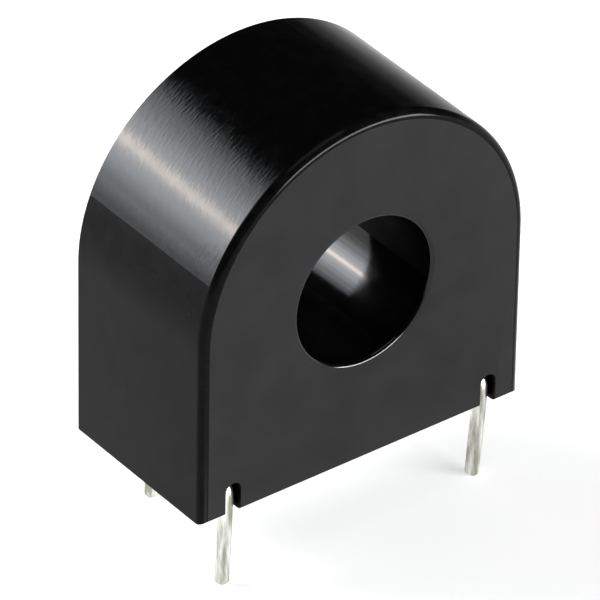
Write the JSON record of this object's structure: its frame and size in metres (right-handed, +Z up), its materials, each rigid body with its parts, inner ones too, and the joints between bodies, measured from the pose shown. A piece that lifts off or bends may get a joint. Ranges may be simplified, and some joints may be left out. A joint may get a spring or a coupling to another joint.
{
  "type": "current transformer",
  "caption": "Small black D-shaped potted current transformer with a through bore for the primary wire and tinned wire pins for a circuit board.",
  "frame": {"origin": "centre of the case's base, in the plane of the circuit board", "axes": "+X to the right seen from the front, +Y along the bore from the closed front face to the open back, +Z up away from the board"},
  "size_m": [0.026, 0.0136, 0.0321],
  "materials": {
    "moulded_plastic": "gloss on the arch and the sides, matt on the front face",
    "resin": "cast epoxy resin, satin",
    "tinned_wire": "dull tin",
    "solder": "bright solder",
    "enamelled_copper": "enamelled copper wire",
    "magnetic_strip": "wound strip",
    "core_box_plastic": "matt",
    "coil_tape": "polyester tape",
    "silicone": "soft silicone"
  },
  "bodies": {
    "root": {"case": "moulded_plastic", "potting": "resin", "core": "magnetic_strip", "core_cushion": "silicone", "core_box_base": "core_box_plastic", "core_box_lid": "core_box_plastic", "winding": "enamelled_copper", "winding_tape": "coil_tape", "lead_left": "enamelled_copper", "lead_right": "enamelled_copper", "solder_left": "solder", "solder_right": "solder", "pin_left": "tinned_wire", "pin_right": "tinned_wire", "pin_rear_left": "tinned_wire", "pin_rear_right": "tinned_wire"}
  },
  "joints": []
}
